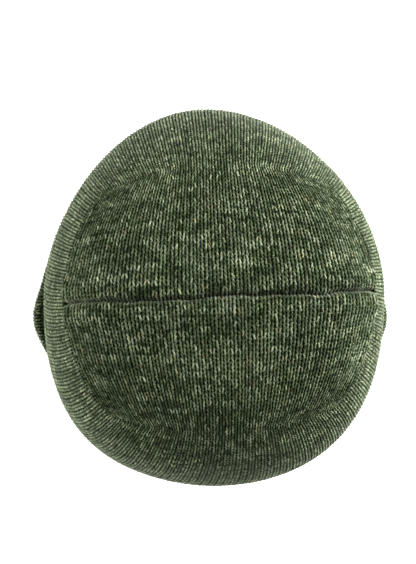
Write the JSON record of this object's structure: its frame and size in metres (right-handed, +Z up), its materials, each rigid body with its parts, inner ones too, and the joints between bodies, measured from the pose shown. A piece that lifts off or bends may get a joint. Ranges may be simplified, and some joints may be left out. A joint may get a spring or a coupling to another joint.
{
  "type": "knit beanie",
  "caption": "Double-layer rib-knit watch cap standing on its turned-up cuff, crown closed by a straight seam and boxed corners.",
  "frame": {"origin": "centre of the hem on the surface that the hat stands on", "axes": "+Z up towards the crown, +Y towards the back of the hat, X along the crown seam"},
  "size_m": [0.1466, 0.148, 0.16],
  "materials": {
    "knit_outer": "matt heather rib knit",
    "knit_cuff": "matt heather rib knit",
    "knit_lining": "matt heather rib knit",
    "seam_thread": "spun polyester thread",
    "label": "blank woven satin"
  },
  "bodies": {
    "root": {"outer_layer": "knit_outer", "lining_layer": "knit_lining", "cuff_face": "knit_cuff", "cuff_backing": "knit_lining", "crown_seam_allowance": "knit_lining", "crown_seam_overlock": "seam_thread", "left_corner_seam_allowance": "knit_lining", "left_corner_seam_overlock": "seam_thread", "right_corner_seam_allowance": "knit_lining", "right_corner_seam_overlock": "seam_thread", "care_label": "label", "care_label_stitches": "seam_thread"}
  },
  "joints": []
}
